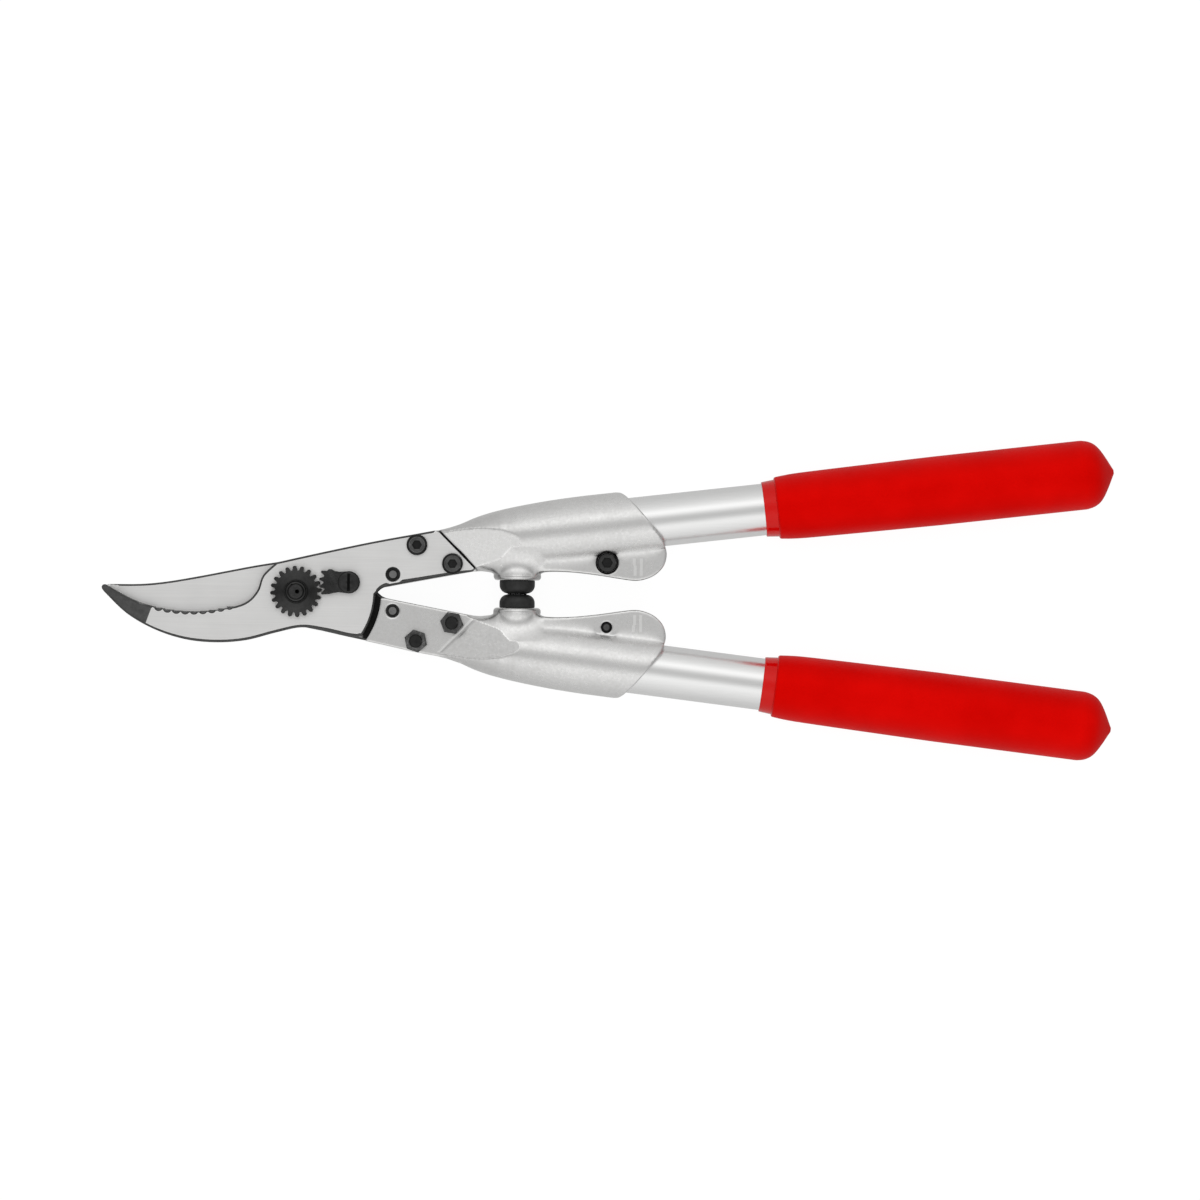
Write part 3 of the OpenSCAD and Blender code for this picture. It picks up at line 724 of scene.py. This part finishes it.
def shape_casting(mesh, side):
    """Soft edges, fillets and small reliefs, in the layout of the upper half."""
    s = Surface(mesh)
    x = s.co[:, 0] / MM - PIVOT_X
    y = side * s.co[:, 1] / MM
    z = np.abs(s.co[:, 2] - PIVOT.z) / MM
    below = below_handle(x, y)
    from_screw = np.hypot(x - CLAMP_SCREW[0], y - CLAMP_SCREW[1])
    s.relax(2, np.full(len(x), 1.0))
    # hollow between the round socket and the flat ears
    ear = ramp(below, 6.5, 8.5) * (1 - ramp(below, 13.5, 16)) * ramp(x, 94, 98)
    ear *= (1 - ramp(x, 141, 145)) * (z > 3) * ramp(from_screw, 4.6, 5.6)
    s.relax(160, ear, fill_only=True)
    s.relax(25, ear)
    # the neck of the buffer seat runs smoothly into the casting, right of the facet's border
    facet = np.interp(y, [9.0, 10.6, 14.1, 22.4], [67.0, 71.2, 80.4, 87.0])
    neck = ramp(x - facet, 0.6, 2.4) * (1 - ramp(x, 94, 98)) * ramp(y, 7.7, 9.2)
    neck *= (1 - ramp(y, 15, 18.5)) * ramp(z, 2.0, 3.5)
    s.relax(800, neck)
    # soft start of the taper towards the blade
    s.relax(150, (1 - ramp(np.abs(x - 79.6), 3, 7)) * ramp(z, 1.5, 3) * ramp(y, 27.5, 29))
    # small ridge beside the ground flat on the face away from the blade seat
    away = (s.co[:, 2] - PIVOT.z) * side < 0
    lift = 0.12 * hump(off_pad_line(x, y), -0.5, 0.7) * ramp(y, 10.2, 11)
    lift *= (1 - ramp(y, 22, 23.5)) * away * (z > 2)
    s.co[:, 2] += np.sign(s.co[:, 2] - PIVOT.z) * lift * MM
    # rounded rim of the ears and of the web
    rim = ramp(z, 4.0, 5.2) * (1 - ramp(z, 6.8, 7.5)) * ramp(x, 94, 97)
    rim *= ramp(below, 12.5, 14.0) * ramp(from_screw, 5.0, 5.6)
    s.relax(5, rim)
    # two small raised bars on the ear
    for middle, lean in ((133.6, 0.06), (136.2, 0.02)):
        lift = 0.08 * hump(x + lean * (y - 11), middle, 0.7) * ramp(y, 7.4, 8.4)
        lift *= (1 - ramp(y, 13.8, 15.0)) * ramp(z, 5.4, 6.0)
        s.co[:, 2] += np.sign(s.co[:, 2] - PIVOT.z) * lift * MM
    s.store()


CAST, SHADED_RIM, FACET, PAINTED_LIGHT, PAINTED_SHADE = range(5)  # materials of a casting: plain, rim in painted shade, facet in painted light on the upper half and painted shade on the lower, painted highlight, painted shade


def casting_parts(mesh, side):
    """The material of each face of a head casting."""
    mid, normal = face_data(mesh)
    nx, ny, nz = normal[:, 0], side * normal[:, 1], np.abs(normal[:, 2])
    x, y = mid[:, 0] / MM - PIVOT_X, side * mid[:, 1] / MM
    # the rim of the web and the ears that faces the other half, darkened as painted shade
    shaded_rim = (nz < 0.75) & (ny < -0.4) & (x > 96) & (below_handle(x, y) > 11)
    # the ground facet; its colour is lighter on the upper half as painted light and darker on the
    # lower as painted shade
    tilt = np.hypot(nx + FACET_LEAN, ny + FACET_LEAN)
    ground = (np.abs(nz - FACET_RISE) < 0.012) & (tilt < 0.03) & (x < 92)
    # the two bars on the ear, painted lighter as a highlight
    shift = np.abs(np.abs(x + 0.04 * (y - 11) - BAR_MIDDLE) - BAR_OFF)
    painted_highlight = (y > 7.8) & (y < 14.4) & (nz > 0.8) & (shift < 0.6)
    kind = np.where(shaded_rim, SHADED_RIM, np.where(ground, FACET, np.where(painted_highlight, PAINTED_LIGHT, CAST)))
    # thin painted highlight along the facet's ridge
    corner, start = np.empty(len(mesh.loops), int), np.empty(len(mesh.polygons), int)
    mesh.loops.foreach_get("vertex_index", corner)
    mesh.polygons.foreach_get("loop_start", start)
    owner = np.searchsorted(start, np.arange(len(corner)), side="right") - 1
    on_facet = np.zeros(len(mesh.vertices), bool)
    on_facet[corner[ground[owner]]] = True
    near = np.bincount(owner, on_facet[corner]) > 0
    kind = np.where(near & (tilt > 0.06) & (nz > 0.7), PAINTED_LIGHT, kind)
    # painted highlight and painted shade in a line between the pad and the facet on the face away
    # from the blade seat
    off = off_pad_line(x, y)
    pad = ((mid[:, 2] - PIVOT.z) * side < 0) & (nz > 0.8) & (y > 10) & (y < 23.5)
    kind = np.where(pad & (np.abs(off + 0.5) < 0.45), PAINTED_LIGHT, kind)
    return np.where(pad & (np.abs(off - 0.5) < 0.5), PAINTED_SHADE, kind).astype(int)


def cast_head(node, side):
    """The head casting with the soft edges and fillets of a real casting."""
    obj = piece_of(node, node + "_cast")
    m = obj.modifiers.new("voxel", "REMESH")
    m.mode = "VOXEL"
    m.voxel_size = 0.40 * MM
    mesh = baked(obj)
    obj.modifiers.clear()
    obj.data = mesh
    shape_casting(mesh, side)
    mesh.polygons.foreach_set("material_index", casting_parts(mesh, side))
    half = "upper" if side > 0 else "lower"
    # the last material, the lower half's dark rim aluminium, is the painted shade beside the pad
    # on both halves
    look = [M["cast"], M[half + "_edge"], M[half + "_facet"], M["painted_highlight"], M["lower_edge"]]
    hand_over(obj, node, look, 75)


# ------------------------------------------------------------------- camera

def aim_camera():
    """A camera far above the shears that looks straight down, as the picture shows them."""
    data = bpy.data.cameras.new("camera")
    cam = bpy.data.objects.new("camera", data)
    bpy.context.scene.collection.objects.link(cam)
    middle_x, middle_y, away, width = 120.02, -1.98, 2000.0, 475.2
    data.sensor_width = 36.0
    data.lens = 36.0 * away / width
    data.clip_end = 20.0
    cam.location = PIVOT + Vector((middle_x, middle_y, away)) * MM
    cam.rotation_euler = (0.0, 0.0, math.radians(0.66))
    bpy.context.scene.camera = cam


# Light around the object, by direction: degrees away from straight up, positive towards the top
# of the picture, with the brightness seen there. Two long soft boxes run along the object on
# both sides of a darker gap in which the camera stands, and the light falls off to the floor.
SKY = ((-180, 0.58), (-128, 0.62), (-106, 0.66), (-89, 0.74), (-74, 0.81), (-60, 0.88),
       (-47, 0.95), (-36, 1.02), (-27, 1.02), (-20, 0.86), (-12, 0.65), (-4, 0.56), (4, 0.56),
       (12, 0.65), (22, 0.96), (30, 1.18), (38, 1.18), (47, 1.00), (60, 0.83), (74, 0.75),
       (89, 0.68), (106, 0.63), (128, 0.60), (180, 0.58))
SIDE_FADE = 0.56  # how bright the two ends of the room are against its middle


def studio():
    """The light around the object, the light above it and the pale floor."""
    scene = bpy.context.scene
    scene.view_settings.view_transform = "Standard"
    scene.view_settings.look = "None"
    world = bpy.data.worlds.new("studio")
    world.use_nodes = True
    scene.world = world
    tree = world.node_tree
    link = tree.links.new
    direction = tree.nodes.new("ShaderNodeTexCoord")
    parts = tree.nodes.new("ShaderNodeSeparateXYZ")
    link(direction.outputs["Generated"], parts.inputs[0])
    angle = tree.nodes.new("ShaderNodeMath")
    angle.operation = "ARCTAN2"
    link(parts.outputs["Y"], angle.inputs[0])
    link(parts.outputs["Z"], angle.inputs[1])
    place = tree.nodes.new("ShaderNodeMapRange")
    place.inputs["From Min"].default_value = -math.pi
    place.inputs["From Max"].default_value = math.pi
    link(angle.outputs[0], place.inputs["Value"])
    bands = tree.nodes.new("ShaderNodeValToRGB")
    link(place.outputs[0], bands.inputs["Fac"])
    bands.color_ramp.interpolation = "LINEAR"
    stops = bands.color_ramp.elements
    for deg, level in SKY[1:-1]:
        stops.new((deg + 180) / 360).color = (level, level, level * 0.992, 1)
    for stop, level in ((stops[0], SKY[0][1]), (stops[len(stops) - 1], SKY[-1][1])):
        stop.color = (level, level, level * 0.992, 1)
    link(bands.outputs["Color"], tree.nodes["Background"].inputs["Color"])
    side = tree.nodes.new("ShaderNodeMath")
    side.operation = "ABSOLUTE"
    link(parts.outputs["X"], side.inputs[0])
    fade = tree.nodes.new("ShaderNodeMapRange")
    fade.interpolation_type = "SMOOTHSTEP"
    fade.inputs["From Min"].default_value = 0.05
    fade.inputs["From Max"].default_value = 0.75
    fade.inputs["To Min"].default_value = 1.0
    fade.inputs["To Max"].default_value = SIDE_FADE
    link(side.outputs[0], fade.inputs["Value"])
    link(fade.outputs[0], tree.nodes["Background"].inputs["Strength"])
    # soft light from above that reflections don't show
    data = bpy.data.lights.new("overhead", "AREA")
    data.shape = "DISK"
    data.size = 1.0
    data.energy = 3.0
    lamp = bpy.data.objects.new("overhead", data)
    lamp.location = PIVOT + Vector((120, 0, 1500)) * MM
    lamp.visible_glossy = False
    scene.collection.objects.link(lamp)
    # floor
    mesh = bpy.data.meshes.new("floor")
    r = 4.0
    mesh.from_pydata([(-r, -r, 0), (r, -r, 0), (r, r, 0), (-r, r, 0)], [], [(0, 1, 2, 3)])
    floor = bpy.data.objects.new("floor", mesh)
    floor.location.z = -0.0002
    floor.visible_glossy = False
    floor.visible_diffuse = False
    scene.collection.objects.link(floor)
    s = Shader("studio_floor")
    cloud = s.noise(s.placed(), 0.004, 2.0)
    mesh.materials.append(s.set(
        Base_Color=s.blend(cloud, grey(0.13), grey(0.15)),
        Roughness=0.9,
        Specular_IOR_Level=0.0,
        Emission_Color=(1, 1, 1, 1),
        Emission_Strength=0.93,
    ))


# ------------------------------------------------------- materials by face

def dowel_parts(r, deep, level):
    """1 on the two posts of a dowel, 0 on its shoulders, which get black as painted shade of the
    hole round the post.
    """
    return (deep < 1.05) | (deep > 7.95)


def screw_parts(r, deep, level):
    """0 in the socket and on the walls, which get black as painted shade, 1 on the ring of the
    head, 2 on its outer bevel.
    """
    ring = level & (deep < 0.5)
    return np.where(ring, np.where(r < 3.05, 1, 2), 0)


def clamp_parts(r, deep, level):
    """1 on the head's ring and on the flat end of the point. The rest is black, which in the
    socket and round the head is painted shade.
    """
    return (level & (deep < 0.3) & (r < 3.6)) | ((deep > 8) & (r < 1.15))


def slot_parts(r, deep, level):
    """0 on the floor of the segment screw's slot, painted near black as shade, 1 elsewhere."""
    return ~(level & (deep > 0.85) & (r < 3.2))


def nut_parts(r, deep, level):
    """1 on the turned front face of the nut and of its hub."""
    return level & (r < 9)


# --------------------------------------------------------------------- build

aim_camera()
studio()

rimmed("counter_blade", [M["counter"], M["skin"]], BLADE, counter_rim,
       lambda p: np.full(len(p), 0.05), even_rim, (), notch_floors())
cutting_loops = outline_loops("cutting_blade", -0.05)
lines = bevel_lines()
lines = lines[inside(lines, cutting_loops) & (reach(lines, cutting_loops)[0] > 0.6)]
rimmed("cutting_blade", [M["cutting"], M["skin"]], -0.05, cutting_front,
       cutting_back, cutting_back_width, lines)

for side, name in ((1, "upper"), (-1, "lower")):
    cast_head(name + "_head_casting", side)
    screw = [M["black"], M["screw"], M["nut"]]
    clamp = [M["black"], M["nut"] if side > 0 else M["screw"]]
    for node, slot, look, width, pick in (
        ("tube", "anodised_tube", [anodised_tube(name + "_anodised", side)], 0.2, None),
        ("grip", "red_grip", [red_grip(name + "_red_grip", side)], 0.12, None),
        ("tube_plug", "black_plastic", [M["plug"]], 0.3, None),
        ("clamp_screw", "black_oxide", clamp, 0.14, clamp_parts),
        ("blade_screw_front", "black_oxide", screw, 0.14, screw_parts),
        ("blade_screw_rear", "black_oxide", screw, 0.14, screw_parts),
        ("blade_nut_front", "black_oxide", [M["nut"]], 0.12, None),
        ("blade_nut_rear", "black_oxide", [M["nut"]], 0.12, None),
        ("dowel_pin", "dowel_steel", [M["black"], M["dowel"]], 0.1, dowel_parts),
        ("buffer", "black_rubber", [M["rubber"]], 0.3, None),
    ):
        edged(name + "_" + node, look, width, pick)

edged("pivot_bolt", [M["black"]], 0.16)
edged("locking_segment", [M["black"]], 0.16)
edged("segment_screw", [M["hollow"], M["dome"]], None, slot_parts)
edged("adjusting_nut", [M["black"], M["face"]], 0.16, nut_parts)
